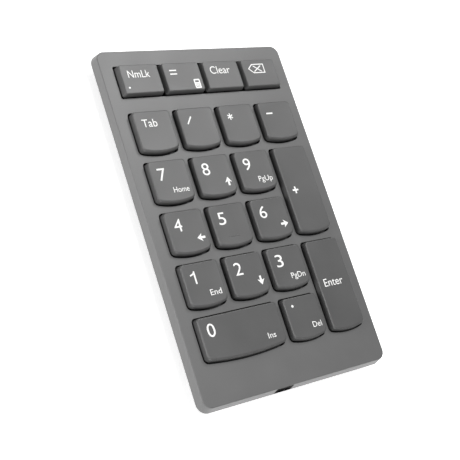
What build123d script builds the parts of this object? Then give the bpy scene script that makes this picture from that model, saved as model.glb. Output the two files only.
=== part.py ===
"""Wireless numeric keypad: drafted case, 21 scissor keys, battery base and a stowed receiver."""
from build123d import *
import math
import os

os.makedirs("parts", exist_ok=True)

# ---- driving dimensions, millimetres -------------------------------------------------------
# X is across the keypad, +Y towards the rear edge, Z up; the floor under the feet is Z = 0.
case_width = 84.4  # top face of the case
case_length = 134.1
case_corner = 3.4
rim_height = 3.9  # drafted side wall of the case
side_draft = 0.65  # how far the wall leans out by its lower edge
rear_draft = 0.65
front_draft = 1.1
case_wall = 1.6
plate_thickness = 1.2
case_edge_round = 0.35

base_drop = 5.6  # base tub below the rim
base_inset = 6.0  # tub wall inside the case edge
base_wall = 1.2
base_corner = 5.0
flange_thickness = 0.8
foot_stand_off = 0.7  # how far the feet reach below the tub
foot_length = 16.0
foot_width = 6.0
foot_seat = 0.4
foot_edge_gap = 3.5

side_margin = 4.2  # case edge to the outer columns
rear_margin = 6.1  # case edge to the top row's slot
front_margin = 11.45  # last row to the case edge
top_slot_depth = 13.1
top_slot_gap = 5.8  # top row's slot to the second row
column_web = 1.9  # case left between two openings
row_web = 1.96
smile_sag = 1.36  # bow of a key opening's front edge
rear_radius = 1.5
front_radius = 2.1
top_slot_radius = 0.7

key_gap = 0.5
key_height = 2.4  # cap above the case
key_skirt = 0.7  # cap below the case's top face
cap_wall = 0.95
cap_roof = 1.1
side_taper = 0.12
front_taper = 0.45
cap_edge_round = 0.35
clip_width = 1.6  # clips that hold the links under a cap
clip_drop = 0.8
top_key_gap = 0.8  # between neighbours in the top row
top_key_taper = 0.72
lens_radius = 0.36
lens_from_side = 2.0
lens_from_front = 2.7

membrane_top_drop = 2.7  # case top face down to the membrane
membrane_thickness = 0.3
backplate_thickness = 0.5
plate_lap = 0.5  # backplate past the openings
plate_corner = 1.0

scissor_arm = 0.9
scissor_gap = 0.25
scissor_thickness = 0.7
dome_clearance = 0.55  # between a dome and the arms beside it
bar_clearance = 0.7  # between a dome and the cross-bars
pivot_radius = 0.35
pivot_boss = 0.8
pivot_clearance = 0.1
hook_width = 3.0
hook_thickness = 0.3
hook_gap = 0.15
hook_height = 1.1

dome_radius = 3.0
dome_crown = 1.4
dome_skin = 0.35
lift_gap = 0.1  # play between roof, link, dome and membrane

bar_radius = 0.35  # stabiliser wire
bar_half_length = 13.2
bar_arm = 5.0
bar_offset = 6.1
bar_roof_gap = 0.9
bar_pivot_height = 0.5
bar_hook_length = 1.8
lug_thickness = 0.6

socket_width = 7.4
socket_height = 2.6
socket_depth = 5.4
socket_wall = 0.3
socket_x = -7.0
socket_gap = 0.1
socket_corner = 0.5
tongue_setback = 1.0
board_length = 56.0
board_width = 9.6
board_thickness = 0.8
board_gap = 0.3
board_drop = 1.3  # board below the plate of the case
radio_x = 8.0  # chips, from the middle of the board
radio_size = 6.0
charger_x = -18.0
charger_size = 4.5
chip_height = 0.9

battery_width = 34.0
battery_length = 50.0
battery_thickness = 2.8
battery_round = 1.0
battery_x = -4.0
battery_y = -18.0

switch_x = 22.0
switch_body_width = 8.6
switch_body_depth = 3.7
switch_body_height = 2.2
switch_travel = 2.5
knob_width = 3.0
knob_height = 1.4
knob_gap = 0.2

plug_width = 12.0
plug_height = 4.5
plug_length = 12.0
plug_skin = 0.3
plug_corner = 0.5
plug_window = 2.0
grip_width = 13.6
grip_height = 4.9
grip_length = 7.0
grip_notch = 0.8
grip_corner = 1.0
bay_gap = 0.25
bay_wall = 0.8
bay_roof = 0.5
bay_x = 17.0
bay_y = 34.0

screw_radius = 0.8
screw_head_radius = 1.4
screw_head_height = 0.6
screw_clearance = 0.15
boss_radius = 1.6
screw_rows = (-57.0, 0.0, 57.0)

# ---- levels and places worked out from them ------------------------------------------------
column_pitch = (case_width - 2 * side_margin) / 4
row_pitch = (case_length - rear_margin - top_slot_depth - top_slot_gap - front_margin) / 5
opening_width = column_pitch - column_web
opening_depth = row_pitch - row_web
tub_bottom = foot_stand_off
rim_bottom = tub_bottom + base_drop
case_top = rim_bottom + rim_height
membrane_top = case_top - membrane_top_drop
backplate_top = membrane_top - membrane_thickness
backplate_bottom = backplate_top - backplate_thickness
cap_top = case_top + key_height
cap_bottom = case_top - key_skirt
roof_underside = cap_top - cap_roof
panel_y = (front_draft - rear_draft) / 2  # keeps the origin under the middle of the whole keypad
rear_edge = panel_y + case_length / 2
front_edge = panel_y - case_length / 2
slot_rear = rear_edge - rear_margin
slot_front = slot_rear - top_slot_depth
row_rear = [slot_front - top_slot_gap - row_pitch * i for i in range(5)]
column_x = [column_pitch * (i - 1.5) for i in range(4)]
slot_width = 3 * column_pitch + opening_width
scissor_outer_half = dome_radius + dome_clearance + 2 * scissor_arm + scissor_gap
scissor_half_length = dome_radius + bar_clearance + scissor_arm
inner_width = case_width - 2 * case_wall
inner_length = case_length - 2 * case_wall


def facing_front(x, y, z):
    """Upright plane that looks towards the user, with its X to the right."""
    return Plane((x, y, z), x_dir=(1, 0, 0), z_dir=(0, -1, 0))


def facing_rear(x, y, z):
    """Upright plane that looks away from the user."""
    return Plane((x, y, z), x_dir=(-1, 0, 0), z_dir=(0, 1, 0))


def smile_face(centre_x, rear_y, level, width, depth, inset, front_inset):
    """Key outline with a bowed front edge, pulled in from the opening by its insets."""
    half = width / 2 - inset
    front = inset + front_inset - depth
    with BuildSketch(Plane((centre_x, rear_y, level))) as outline:
        with BuildLine():
            Polyline(
                (-half, front + smile_sag), (-half, -inset), (half, -inset), (half, front + smile_sag)
            )
            ThreePointArc((half, front + smile_sag), (0, front), (-half, front + smile_sag))
        make_face()
        corners = outline.vertices().group_by(Axis.Y)
        fillet(corners[-1], rear_radius - 0.5 * inset)
        fillet(outline.vertices().group_by(Axis.Y)[0], front_radius - 0.5 * inset)
    return outline.sketch


def slot_face(centre_x, rear_y, level, width, depth, inset, side_inset):
    """Plain rounded outline of the top row."""
    middle = Plane((centre_x, rear_y - depth / 2, level))
    with BuildSketch(middle) as outline:
        RectangleRounded(width - 2 * inset - 2 * side_inset, depth - 2 * inset, top_slot_radius)
    return outline.sketch


# ---- the keys: name, column centre, rear edge, width and depth of the opening --------------
tall_depth = opening_depth + row_pitch
wide_x = (column_x[0] + column_x[1]) / 2
wide_width = opening_width + column_pitch
keys = [
    ("tab", column_x[0], row_rear[0], opening_width, opening_depth),
    ("divide", column_x[1], row_rear[0], opening_width, opening_depth),
    ("multiply", column_x[2], row_rear[0], opening_width, opening_depth),
    ("minus", column_x[3], row_rear[0], opening_width, opening_depth),
    ("7", column_x[0], row_rear[1], opening_width, opening_depth),
    ("8", column_x[1], row_rear[1], opening_width, opening_depth),
    ("9", column_x[2], row_rear[1], opening_width, opening_depth),
    ("plus", column_x[3], row_rear[1], opening_width, tall_depth),
    ("4", column_x[0], row_rear[2], opening_width, opening_depth),
    ("5", column_x[1], row_rear[2], opening_width, opening_depth),
    ("6", column_x[2], row_rear[2], opening_width, opening_depth),
    ("1", column_x[0], row_rear[3], opening_width, opening_depth),
    ("2", column_x[1], row_rear[3], opening_width, opening_depth),
    ("3", column_x[2], row_rear[3], opening_width, opening_depth),
    ("enter", column_x[3], row_rear[3], opening_width, tall_depth),
    ("0", wide_x, row_rear[4], wide_width, opening_depth),
    ("point", column_x[2], row_rear[4], opening_width, opening_depth),
]
top_key_width = (slot_width - 2 * key_gap - 3 * top_key_gap) / 4
top_key_pitch = top_key_width + top_key_gap
top_keys = [
    (name, top_key_pitch * (i - 1.5), slot_rear, top_key_width, top_slot_depth)
    for i, name in enumerate(("num_lock", "equals", "clear", "backspace"))
]
key_middles = {name: (x, rear - depth / 2) for name, x, rear, width, depth in keys + top_keys}
hook_y = scissor_half_length + hook_gap + hook_thickness / 2

# ---- stabiliser wires of the three long keys -----------------------------------------------
bar_rest_z = roof_underside - bar_roof_gap - bar_radius
bar_pivot_z = membrane_top + bar_pivot_height
bar_keys = {"0": (1, 0), "plus": (0, 1), "enter": (0, 1)}


def bar_plane(name, level):
    """Plane whose X runs along the wire and whose Y points from its pivots to its long run."""
    x, y = key_middles[name]
    along = bar_keys[name]
    return Plane((x, y, level), x_dir=(along[0], along[1], 0), z_dir=(0, 0, 1))


# ---- case ----------------------------------------------------------------------------------
with BuildPart() as top_case:
    lower_y = (rear_draft - front_draft) / 2 + panel_y
    with BuildSketch(Plane((0, lower_y, rim_bottom))):
        RectangleRounded(
            case_width + 2 * side_draft, case_length + front_draft + rear_draft, case_corner + side_draft
        )
    with BuildSketch(Plane((0, panel_y, case_top))):
        RectangleRounded(case_width, case_length, case_corner)
    loft()
    fillet(top_case.faces().sort_by(Axis.Z)[-1].edges(), case_edge_round)
    with BuildSketch(Plane((0, panel_y, rim_bottom))):
        RectangleRounded(inner_width, inner_length, case_corner - case_wall / 2)
    extrude(amount=rim_height - plate_thickness, mode=Mode.SUBTRACT)
    for key_name, key_x, key_rear, key_width, key_depth in keys:
        hole = smile_face(key_x, key_rear, case_top, key_width, key_depth, 0, 0)
        extrude(hole, amount=-plate_thickness, mode=Mode.SUBTRACT)
    slot = slot_face(0, slot_rear, case_top, slot_width, top_slot_depth, 0, 0)
    extrude(slot, amount=-plate_thickness, mode=Mode.SUBTRACT)
    screw_x = (slot_width / 2 + inner_width / 2) / 2
    boss_places = [(side * screw_x, row) for side in (-1, 1) for row in screw_rows]
    with BuildSketch(Plane.XY.offset(rim_bottom)):
        with Locations(*boss_places):
            Circle(boss_radius)
            Circle(screw_radius, mode=Mode.SUBTRACT)
    extrude(amount=rim_height - plate_thickness)
    socket_top = case_top - plate_thickness - socket_gap
    socket_middle = facing_front(socket_x, front_edge - front_draft, socket_top - socket_height / 2)
    with BuildSketch(socket_middle):
        RectangleRounded(socket_width + 2 * socket_gap, socket_height + socket_gap, socket_corner)
    extrude(amount=-(front_draft + case_wall), mode=Mode.SUBTRACT)
    knob_level = case_top - plate_thickness - socket_gap - switch_body_height / 2
    knob_window = switch_travel + knob_width + 2 * knob_gap
    with BuildSketch(facing_rear(switch_x, rear_edge + rear_draft, knob_level)):
        Rectangle(knob_window, knob_height + 2 * knob_gap)
    extrude(amount=-(rear_draft + case_wall), mode=Mode.SUBTRACT)
top_case.part.label = "top_case"
export_step(top_case.part, "parts/top_case.step")

tub_width = case_width - 2 * base_inset
tub_length = case_length - 2 * base_inset
bay_width = grip_width + 2 * bay_gap
bay_length = plug_length + grip_length + 2 * bay_gap
bay_height = grip_height + bay_gap
grip_bottom = tub_bottom + bay_gap / 2
with BuildPart() as bottom_cover:
    with BuildSketch(Plane((0, panel_y, rim_bottom - flange_thickness))):
        RectangleRounded(inner_width, inner_length, case_corner - case_wall / 2)
    extrude(amount=flange_thickness)
    with BuildSketch(Plane((0, panel_y, tub_bottom))):
        RectangleRounded(tub_width, tub_length, base_corner)
    extrude(amount=base_drop)
    chamfer(bottom_cover.faces().sort_by(Axis.Z)[0].edges(), base_wall / 2)
    with BuildSketch(Plane((0, panel_y, tub_bottom + base_wall))):
        RectangleRounded(tub_width - 2 * base_wall, tub_length - 2 * base_wall, base_corner - base_wall)
    extrude(amount=base_drop, mode=Mode.SUBTRACT)
    with BuildSketch(Plane((bay_x, bay_y, tub_bottom))):
        Rectangle(bay_width + 2 * bay_wall, bay_length + 2 * bay_wall)
    extrude(amount=bay_height + bay_roof)
    with BuildSketch(Plane((bay_x, bay_y, tub_bottom))):
        Rectangle(bay_width, bay_length)
    extrude(amount=bay_height, mode=Mode.SUBTRACT)
    with BuildSketch(Plane((bay_x + bay_width / 2, bay_y - bay_length / 2 + grip_length / 2, tub_bottom))):
        SlotOverall(2 * grip_length, grip_length - 2 * bay_wall)
    extrude(amount=base_wall, mode=Mode.SUBTRACT)
    foot_x = tub_width / 2 - foot_edge_gap - foot_length / 2
    foot_y = tub_length / 2 - foot_edge_gap - foot_width / 2
    foot_places = [(side * foot_x, panel_y + end * foot_y) for side in (-1, 1) for end in (-1, 1)]
    with BuildSketch(Plane.XY.offset(tub_bottom)):
        with Locations(*foot_places):
            SlotOverall(foot_length, foot_width)
    extrude(amount=foot_seat, mode=Mode.SUBTRACT)
    with BuildSketch(Plane.XY.offset(rim_bottom - flange_thickness)):
        with Locations(*boss_places):
            Circle(screw_radius + screw_clearance)
    extrude(amount=flange_thickness, mode=Mode.SUBTRACT)
bottom_cover.part.label = "bottom_cover"
export_step(bottom_cover.part, "parts/bottom_cover.step")

with BuildPart() as rubber_feet:
    with BuildSketch(Plane.XY):
        with Locations(*foot_places):
            SlotOverall(foot_length, foot_width)
    extrude(amount=foot_stand_off + foot_seat)
    fillet(rubber_feet.faces().group_by(Axis.Z)[0].edges(), foot_stand_off / 3)
rubber_feet.part.label = "rubber_feet"
export_step(rubber_feet.part, "parts/rubber_feet.step")

with BuildPart() as cover_screws:
    with BuildSketch(Plane.XY.offset(rim_bottom - flange_thickness)):
        with Locations(*boss_places):
            Circle(screw_radius)
    extrude(amount=rim_height - plate_thickness)
    with BuildSketch(Plane.XY.offset(rim_bottom - flange_thickness)):
        with Locations(*boss_places):
            Circle(screw_head_radius)
    extrude(amount=-screw_head_height)
    with BuildSketch(Plane.XY.offset(rim_bottom - flange_thickness - screw_head_height)):
        with Locations(*boss_places):
            Rectangle(screw_head_radius, screw_head_height / 2)
            Rectangle(screw_head_height / 2, screw_head_radius)
    extrude(amount=screw_head_height / 2, mode=Mode.SUBTRACT)
cover_screws.part.label = "cover_screws"
export_step(cover_screws.part, "parts/cover_screws.step")

# ---- backplate with the hooks of every link pair and the wire lugs, and the membrane over it --
plate_front = row_rear[4] - opening_depth - plate_lap
plate_rear = slot_rear + plate_lap / 2
plate_width = 2 * (screw_x - boss_radius - board_gap)
plate_middle = Plane((0, (plate_front + plate_rear) / 2, backplate_bottom))
hook_places = [(x, y + end * hook_y) for x, y in key_middles.values() for end in (-1, 1)]
with BuildPart() as backplate:
    with BuildSketch(plate_middle):
        RectangleRounded(plate_width, plate_rear - plate_front, plate_corner)
    extrude(amount=backplate_thickness)
    with BuildSketch(Plane.XY.offset(backplate_top)):
        with Locations(*hook_places):
            Rectangle(hook_width, hook_thickness)
    extrude(amount=membrane_thickness + hook_height)
    for bar_name in bar_keys:
        lug_plane = bar_plane(bar_name, backplate_top)
        lug_x = bar_half_length - bar_hook_length + lug_thickness
        lug_y = bar_offset - bar_arm
        with BuildSketch(lug_plane):
            with Locations((-lug_x, lug_y), (lug_x, lug_y)):
                Rectangle(lug_thickness, 4 * bar_radius)
        extrude(amount=membrane_thickness + bar_pivot_height + 2 * bar_radius)
        bore_plane = bar_plane(bar_name, bar_pivot_z)
        bore_start = bore_plane.from_local_coords((-bar_half_length, lug_y, 0))
        with BuildSketch(Plane(bore_start, z_dir=bore_plane.x_dir)):
            Circle(bar_radius + pivot_clearance)
        extrude(amount=2 * bar_half_length, mode=Mode.SUBTRACT)
backplate.part.label = "backplate"
export_step(backplate.part, "parts/backplate.step")

with BuildPart() as membrane:
    with BuildSketch(Plane(plate_middle.origin + Vector(0, 0, backplate_thickness))):
        RectangleRounded(plate_width, plate_rear - plate_front, plate_corner)
    extrude(amount=membrane_thickness)
    with BuildSketch(Plane.XY.offset(backplate_top)):
        with Locations(*hook_places):
            Rectangle(hook_width + 2 * hook_gap, hook_thickness + hook_gap)
    extrude(amount=membrane_thickness, mode=Mode.SUBTRACT)
    for bar_name in bar_keys:
        with BuildSketch(bar_plane(bar_name, backplate_top)):
            with Locations((-lug_x, lug_y), (lug_x, lug_y)):
                Rectangle(lug_thickness + 2 * hook_gap, 4 * bar_radius + 2 * hook_gap)
        extrude(amount=membrane_thickness, mode=Mode.SUBTRACT)
membrane.part.label = "membrane"
export_step(membrane.part, "parts/membrane.step")

with BuildPart() as rubber_domes:
    dome_base = membrane_top
    dome_top = roof_underside - lift_gap
    for dome_x, dome_y in key_middles.values():
        with BuildSketch(Plane((dome_x, dome_y, 0), z_dir=(0, -1, 0), x_dir=(1, 0, 0))):
            with BuildLine():
                Polyline(
                    (dome_radius - dome_skin, dome_base),
                    (dome_radius, dome_base),
                    (dome_radius, dome_base + dome_skin),
                    (dome_crown + dome_skin, dome_top - dome_skin),
                    (dome_crown, dome_top),
                    (0, dome_top),
                    (0, dome_top - 2 * dome_skin),
                    (dome_crown - dome_skin / 2, dome_top - 2 * dome_skin),
                    (dome_radius - dome_skin, dome_base + dome_skin),
                    close=True,
                )
            make_face()
        revolve(axis=Axis((dome_x, dome_y, 0), (0, 0, 1)))
rubber_domes.part.label = "rubber_domes"
export_step(rubber_domes.part, "parts/rubber_domes.step")

# ---- one link pair, made once at the origin and set under each cap ---------------------------
link_low = membrane_top + lift_gap + scissor_thickness / 2
link_high = roof_underside - lift_gap - scissor_thickness / 2
link_middle = (link_low + link_high) / 2
link_angle = math.degrees(math.atan2(link_high - link_low, 2 * scissor_half_length - scissor_thickness))
link_span = math.hypot(link_high - link_low, 2 * scissor_half_length - scissor_thickness)
inner_half = scissor_outer_half - scissor_arm - scissor_gap


def scissor_link(half_width, tilt, pin_reach, pin_hole):
    """One moulded frame: two arms, a cross-bar at each end and a boss at the pivot."""
    with BuildPart() as link:
        with BuildSketch(Plane((-half_width, 0, link_middle), z_dir=(1, 0, 0), x_dir=(0, 1, 0))):
            SlotCenterToCenter(link_span, scissor_thickness, rotation=tilt)
        extrude(amount=2 * half_width)
        with BuildSketch(Plane((0, 0, link_middle)).rotated((tilt, 0, 0))):
            Rectangle(2 * (half_width - scissor_arm), link_span - 2 * scissor_arm)
        extrude(amount=scissor_thickness, both=True, mode=Mode.SUBTRACT)
        arm_starts = (-half_width, half_width - scissor_arm)
        for start in arm_starts:
            with BuildSketch(Plane((start, 0, link_middle), z_dir=(1, 0, 0), x_dir=(0, 1, 0))):
                Circle(pivot_boss)
            extrude(amount=scissor_arm)
        pivot_plane = Plane((-pin_reach, 0, link_middle), z_dir=(1, 0, 0), x_dir=(0, 1, 0))
        with BuildSketch(pivot_plane):
            Circle(pin_hole if pin_hole else pivot_radius)
        if pin_hole:
            extrude(amount=2 * pin_reach, mode=Mode.SUBTRACT)
        else:
            extrude(amount=pin_reach - half_width + scissor_arm / 2)
            with BuildSketch(pivot_plane.offset(2 * pin_reach)):
                Circle(pivot_radius)
            extrude(amount=-(pin_reach - half_width + scissor_arm / 2))
    return link.part


outer_link = scissor_link(scissor_outer_half, link_angle, scissor_outer_half, pivot_radius + pivot_clearance)
inner_link = scissor_link(inner_half, -link_angle, scissor_outer_half - pivot_clearance, 0)
for scissor_name, (scissor_x, scissor_y) in key_middles.items():
    pair = Compound(children=[Pos(scissor_x, scissor_y, 0) * link for link in (outer_link, inner_link)])
    pair.label = "scissor_" + scissor_name
    export_step(pair, "parts/scissor_" + scissor_name + ".step")

for bar_name in bar_keys:
    rest_lift = bar_rest_z - bar_pivot_z
    frame = bar_plane(bar_name, bar_pivot_z)
    pivot_y = bar_offset - bar_arm
    wire_points = [
        (-bar_half_length + bar_hook_length, pivot_y, 0),
        (-bar_half_length, pivot_y, 0),
        (-bar_half_length, bar_offset, rest_lift),
        (bar_half_length, bar_offset, rest_lift),
        (bar_half_length, pivot_y, 0),
        (bar_half_length - bar_hook_length, pivot_y, 0),
    ]
    with BuildPart() as stabilizer:
        with BuildLine() as wire_path:
            FilletPolyline(*[frame.from_local_coords(point) for point in wire_points], radius=2 * bar_radius)
        with BuildSketch(Plane(wire_path.line @ 0, z_dir=wire_path.line % 0)):
            Circle(bar_radius)
        sweep()
    stabilizer.part.label = "stabilizer_" + bar_name
    export_step(stabilizer.part, "parts/stabilizer_" + bar_name + ".step")

# ---- keycaps ---------------------------------------------------------------------------------
for key_name, key_x, key_rear, key_width, key_depth in keys + top_keys:
    top_row = key_name in [entry[0] for entry in top_keys]
    middle_x, middle_y = key_middles[key_name]
    if top_row:
        # the top row's caps share one slot, so their gaps are already in their widths
        cap_size = (key_width, key_depth - 2 * key_gap)
        rear = key_rear - key_gap
        outline, gap, roof_taper = slot_face, 0, top_key_taper
    else:
        cap_size = (key_width, key_depth)
        rear = key_rear
        outline, gap, roof_taper = smile_face, key_gap, front_taper
    with BuildPart() as cap:
        add(outline(key_x, rear, cap_bottom, *cap_size, gap, 0))
        add(outline(key_x, rear, cap_top, *cap_size, gap + side_taper, roof_taper))
        loft()
        fillet(cap.faces().sort_by(Axis.Z)[-1].edges(), cap_edge_round)
        hollow = outline(key_x, rear, cap_bottom, *cap_size, gap + cap_wall, roof_taper)
        extrude(hollow, amount=roof_underside - cap_bottom, mode=Mode.SUBTRACT)
        with BuildSketch(Plane((middle_x, middle_y, roof_underside))):
            with GridLocations(2 * scissor_outer_half - 2 * clip_width, 2 * hook_y, 2, 2):
                Rectangle(clip_width, hook_thickness)
        extrude(amount=-clip_drop)
        if key_name == "num_lock":
            lens_x = key_x - key_width / 2 + top_key_taper + lens_from_side
            lens_y = key_rear - key_depth + key_gap + lens_from_front
            with BuildSketch(Plane((lens_x, lens_y, cap_top))):
                Circle(lens_radius)
            extrude(amount=-cap_roof, mode=Mode.SUBTRACT)
    cap.part.label = "key_" + key_name
    export_step(cap.part, "parts/key_" + key_name + ".step")

with BuildPart() as num_lock_lens:
    with BuildSketch(Plane((lens_x, lens_y, cap_top))):
        Circle(lens_radius)
    extrude(amount=-cap_roof)
num_lock_lens.part.label = "num_lock_lens"
export_step(num_lock_lens.part, "parts/num_lock_lens.step")

# ---- electronics -----------------------------------------------------------------------------
socket_front = front_edge - front_draft / 2
with BuildPart() as charging_socket:
    with BuildSketch(facing_front(socket_x, socket_front, socket_top - socket_height / 2)):
        RectangleRounded(socket_width, socket_height, socket_corner)
    extrude(amount=-socket_depth)
    with BuildSketch(facing_front(socket_x, socket_front, socket_top - socket_height / 2)):
        RectangleRounded(socket_width - 2 * socket_wall, socket_height - 2 * socket_wall, socket_wall)
    extrude(amount=-(socket_depth - socket_wall), mode=Mode.SUBTRACT)
    with BuildSketch(facing_front(socket_x, socket_front + tongue_setback, socket_top - socket_height / 2)):
        Rectangle(socket_width / 2, socket_wall)
    extrude(amount=-(socket_depth - tongue_setback))
charging_socket.part.label = "charging_socket"
export_step(charging_socket.part, "parts/charging_socket.step")

board_top = case_top - plate_thickness - board_drop
board_rear = plate_front - board_gap
with BuildPart() as main_board:
    with BuildSketch(Plane((0, board_rear - board_width / 2, board_top))):
        RectangleRounded(board_length, board_width, board_thickness)
        with Locations((socket_x, -board_width / 2)):
            Rectangle(socket_width + 2 * socket_gap, 2 * (socket_depth - case_wall), mode=Mode.SUBTRACT)
    extrude(amount=-board_thickness)
    with BuildSketch(Plane((0, board_rear - board_width / 2, board_top))):
        with Locations((radio_x, 0)):
            Rectangle(radio_size, radio_size)
        with Locations((radio_x + 2 * radio_size, 0)):
            Rectangle(radio_size / 2, charger_size)
        with Locations((charger_x, 0)):
            Rectangle(charger_size, charger_size)
    extrude(amount=chip_height)
main_board.part.label = "main_board"
export_step(main_board.part, "parts/main_board.step")

with BuildPart() as battery:
    with BuildSketch(Plane((battery_x, battery_y, tub_bottom + base_wall))):
        RectangleRounded(battery_width, battery_length, battery_round)
    extrude(amount=battery_thickness)
    fillet(battery.edges().filter_by(Axis.Y), battery_round)
battery.part.label = "battery"
export_step(battery.part, "parts/battery.step")

switch_rear = rear_edge - case_wall - socket_gap
with BuildPart() as power_switch_body:
    with BuildSketch(facing_rear(switch_x, switch_rear, knob_level)):
        Rectangle(switch_body_width, switch_body_height)
    extrude(amount=-switch_body_depth)
    with BuildSketch(facing_rear(switch_x, switch_rear, knob_level)):
        Rectangle(knob_window, knob_height / 2 + 2 * knob_gap)
    extrude(amount=-switch_body_depth / 2, mode=Mode.SUBTRACT)
power_switch_body.part.label = "power_switch_body"
export_step(power_switch_body.part, "parts/power_switch_body.step")

with BuildPart() as power_switch_knob:
    knob_start = switch_x + switch_travel / 2
    knob_tip = rear_edge + rear_draft
    with BuildSketch(facing_rear(knob_start, knob_tip, knob_level)):
        Rectangle(knob_width, knob_height)
    extrude(amount=-(knob_tip - switch_rear - knob_gap))
    with BuildSketch(facing_rear(knob_start, switch_rear + knob_gap, knob_level)):
        Rectangle(knob_width / 2, knob_height / 2)
    extrude(amount=-(switch_body_depth / 2 - knob_gap))
power_switch_knob.part.label = "power_switch_knob"
export_step(power_switch_knob.part, "parts/power_switch_knob.step")

# ---- receiver, stowed in its bay under the base ------------------------------------------------
grip_front = bay_y - bay_length / 2 + bay_gap
grip_middle_z = grip_bottom + grip_height / 2
plug_front = grip_front + grip_length
with BuildPart() as receiver_body:
    with BuildSketch(facing_rear(bay_x, grip_front, grip_middle_z)):
        RectangleRounded(grip_width, grip_height, grip_corner)
    extrude(amount=grip_length)
    with BuildSketch(Plane((bay_x, grip_front + grip_length / 2, grip_bottom))):
        with Locations((-grip_width / 2, 0), (grip_width / 2, 0)):
            Rectangle(2 * grip_notch, grip_length / 3)
    extrude(amount=grip_height, mode=Mode.SUBTRACT)
    with BuildSketch(facing_rear(bay_x, plug_front, grip_middle_z - plug_height / 4)):
        Rectangle(plug_width - 4 * plug_skin, plug_height / 3)
    extrude(amount=plug_length - 4 * plug_skin)
receiver_body.part.label = "receiver_body"
export_step(receiver_body.part, "parts/receiver_body.step")

with BuildPart() as receiver_shell:
    with BuildSketch(facing_rear(bay_x, plug_front, grip_middle_z)):
        RectangleRounded(plug_width, plug_height, plug_corner)
        RectangleRounded(plug_width - 2 * plug_skin, plug_height - 2 * plug_skin, plug_skin, mode=Mode.SUBTRACT)
    extrude(amount=plug_length)
    with BuildSketch(Plane((bay_x, plug_front + plug_length / 2, grip_bottom))):
        with GridLocations(plug_width / 2, 0, 2, 1):
            Rectangle(plug_window, plug_window)
    extrude(amount=grip_height, mode=Mode.SUBTRACT)
receiver_shell.part.label = "receiver_shell"
export_step(receiver_shell.part, "parts/receiver_shell.step")
print("case top", case_top, "overall height", cap_top)
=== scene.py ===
import math

import bmesh
import bpy
from mathutils import Matrix, Vector


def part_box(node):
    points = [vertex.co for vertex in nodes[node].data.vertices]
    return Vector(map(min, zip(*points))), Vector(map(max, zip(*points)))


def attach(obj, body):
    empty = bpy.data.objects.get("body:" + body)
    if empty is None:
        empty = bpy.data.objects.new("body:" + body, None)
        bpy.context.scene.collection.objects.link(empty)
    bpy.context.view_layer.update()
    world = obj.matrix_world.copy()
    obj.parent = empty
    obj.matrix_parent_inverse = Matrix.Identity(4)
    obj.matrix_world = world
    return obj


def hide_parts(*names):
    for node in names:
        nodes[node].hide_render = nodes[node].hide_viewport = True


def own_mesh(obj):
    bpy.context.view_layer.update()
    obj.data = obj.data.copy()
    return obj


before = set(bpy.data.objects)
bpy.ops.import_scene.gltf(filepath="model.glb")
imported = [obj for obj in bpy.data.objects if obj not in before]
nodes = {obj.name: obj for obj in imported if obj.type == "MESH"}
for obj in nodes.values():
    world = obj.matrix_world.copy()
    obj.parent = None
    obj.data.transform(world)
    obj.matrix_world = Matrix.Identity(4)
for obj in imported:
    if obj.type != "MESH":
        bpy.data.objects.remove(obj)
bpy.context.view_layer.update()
scene = bpy.context.scene
mm = 0.001

# ---- camera -------------------------------------------------------------------------------------
# A short telephoto lens beyond the keypad's left edge, looking down on it, and rolled so that the
# keypad's rear edge lies level in the view.
lens = bpy.data.cameras.new("camera")
lens.lens = 76.32
lens.sensor_width = 36.0
lens.clip_start = 0.01
lens.clip_end = 50.0
camera = bpy.data.objects.new("camera", lens)
scene.collection.objects.link(camera)
view_right = Vector((0.8054, -0.3037, 0.5091))
view_up = Vector((0.1346, 0.9301, 0.3419))
view_back = view_right.cross(view_up)
camera.location = (-0.2154, -0.08064, 0.2923)
camera.rotation_mode = "QUATERNION"
turn = Matrix((view_right, view_up, view_back)).transposed()
camera.rotation_quaternion = turn.to_quaternion()
scene.camera = camera
scene.view_settings.view_transform = "Standard"

# ---- floor and lights ---------------------------------------------------------------------------
# A white sweep of studio paper lit from below, a large soft box overhead, and a second one behind
# the right side whose reflection brightens the rear left of the keypad. Two low cards, at the left
# and in front, light the upright walls.
paper = bpy.data.materials.new("studio_paper")
paper.use_nodes = True
sheet = paper.node_tree.nodes["Principled BSDF"]
sheet.inputs["Base Color"].default_value = (0.92, 0.92, 0.92, 1)
sheet.inputs["Roughness"].default_value = 0.9
sheet.inputs["Emission Color"].default_value = (1, 1, 1, 1)
sheet.inputs["Emission Strength"].default_value = 0.56
floor_half = 3.0
floor_mesh = bpy.data.meshes.new("studio_floor")
floor_mesh.from_pydata(
    [(-floor_half, -floor_half, 0), (floor_half, -floor_half, 0),
     (floor_half, floor_half, 0), (-floor_half, floor_half, 0)],
    [], [(0, 1, 2, 3)],
)
floor = bpy.data.objects.new("studio_floor", floor_mesh)
scene.collection.objects.link(floor)
floor_mesh.materials.append(paper)


def soft_box(name, place, aim, size, watts):
    """A square area light at a place, turned towards the point it lights."""
    box = bpy.data.lights.new(name, "AREA")
    box.shape = "SQUARE"
    box.size = size
    box.energy = watts
    holder = bpy.data.objects.new(name, box)
    scene.collection.objects.link(holder)
    holder.location = place
    holder.rotation_mode = "QUATERNION"
    holder.rotation_quaternion = (Vector(aim) - Vector(place)).to_track_quat("-Z", "Y")


soft_box("top_soft_box", (0.05, 0.0, 1.1), (0, 0, 0), 0.45, 6.4)
soft_box("rear_soft_box", (0.45, 0.46, 0.80), (0.0, 0.05, 0), 0.34, 4.0)
soft_box("left_card", (-0.75, 0.05, 0.18), (0, 0, 0), 0.4, 4.2)
soft_box("front_card", (-0.25, -0.75, 0.26), (0, 0, 0), 0.4, 2.5)
sky = bpy.data.worlds.new("studio")
sky.use_nodes = True
sky.node_tree.nodes["Background"].inputs["Color"].default_value = (1, 1, 1, 1)
sky.node_tree.nodes["Background"].inputs["Strength"].default_value = 0.27
scene.world = sky


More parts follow.
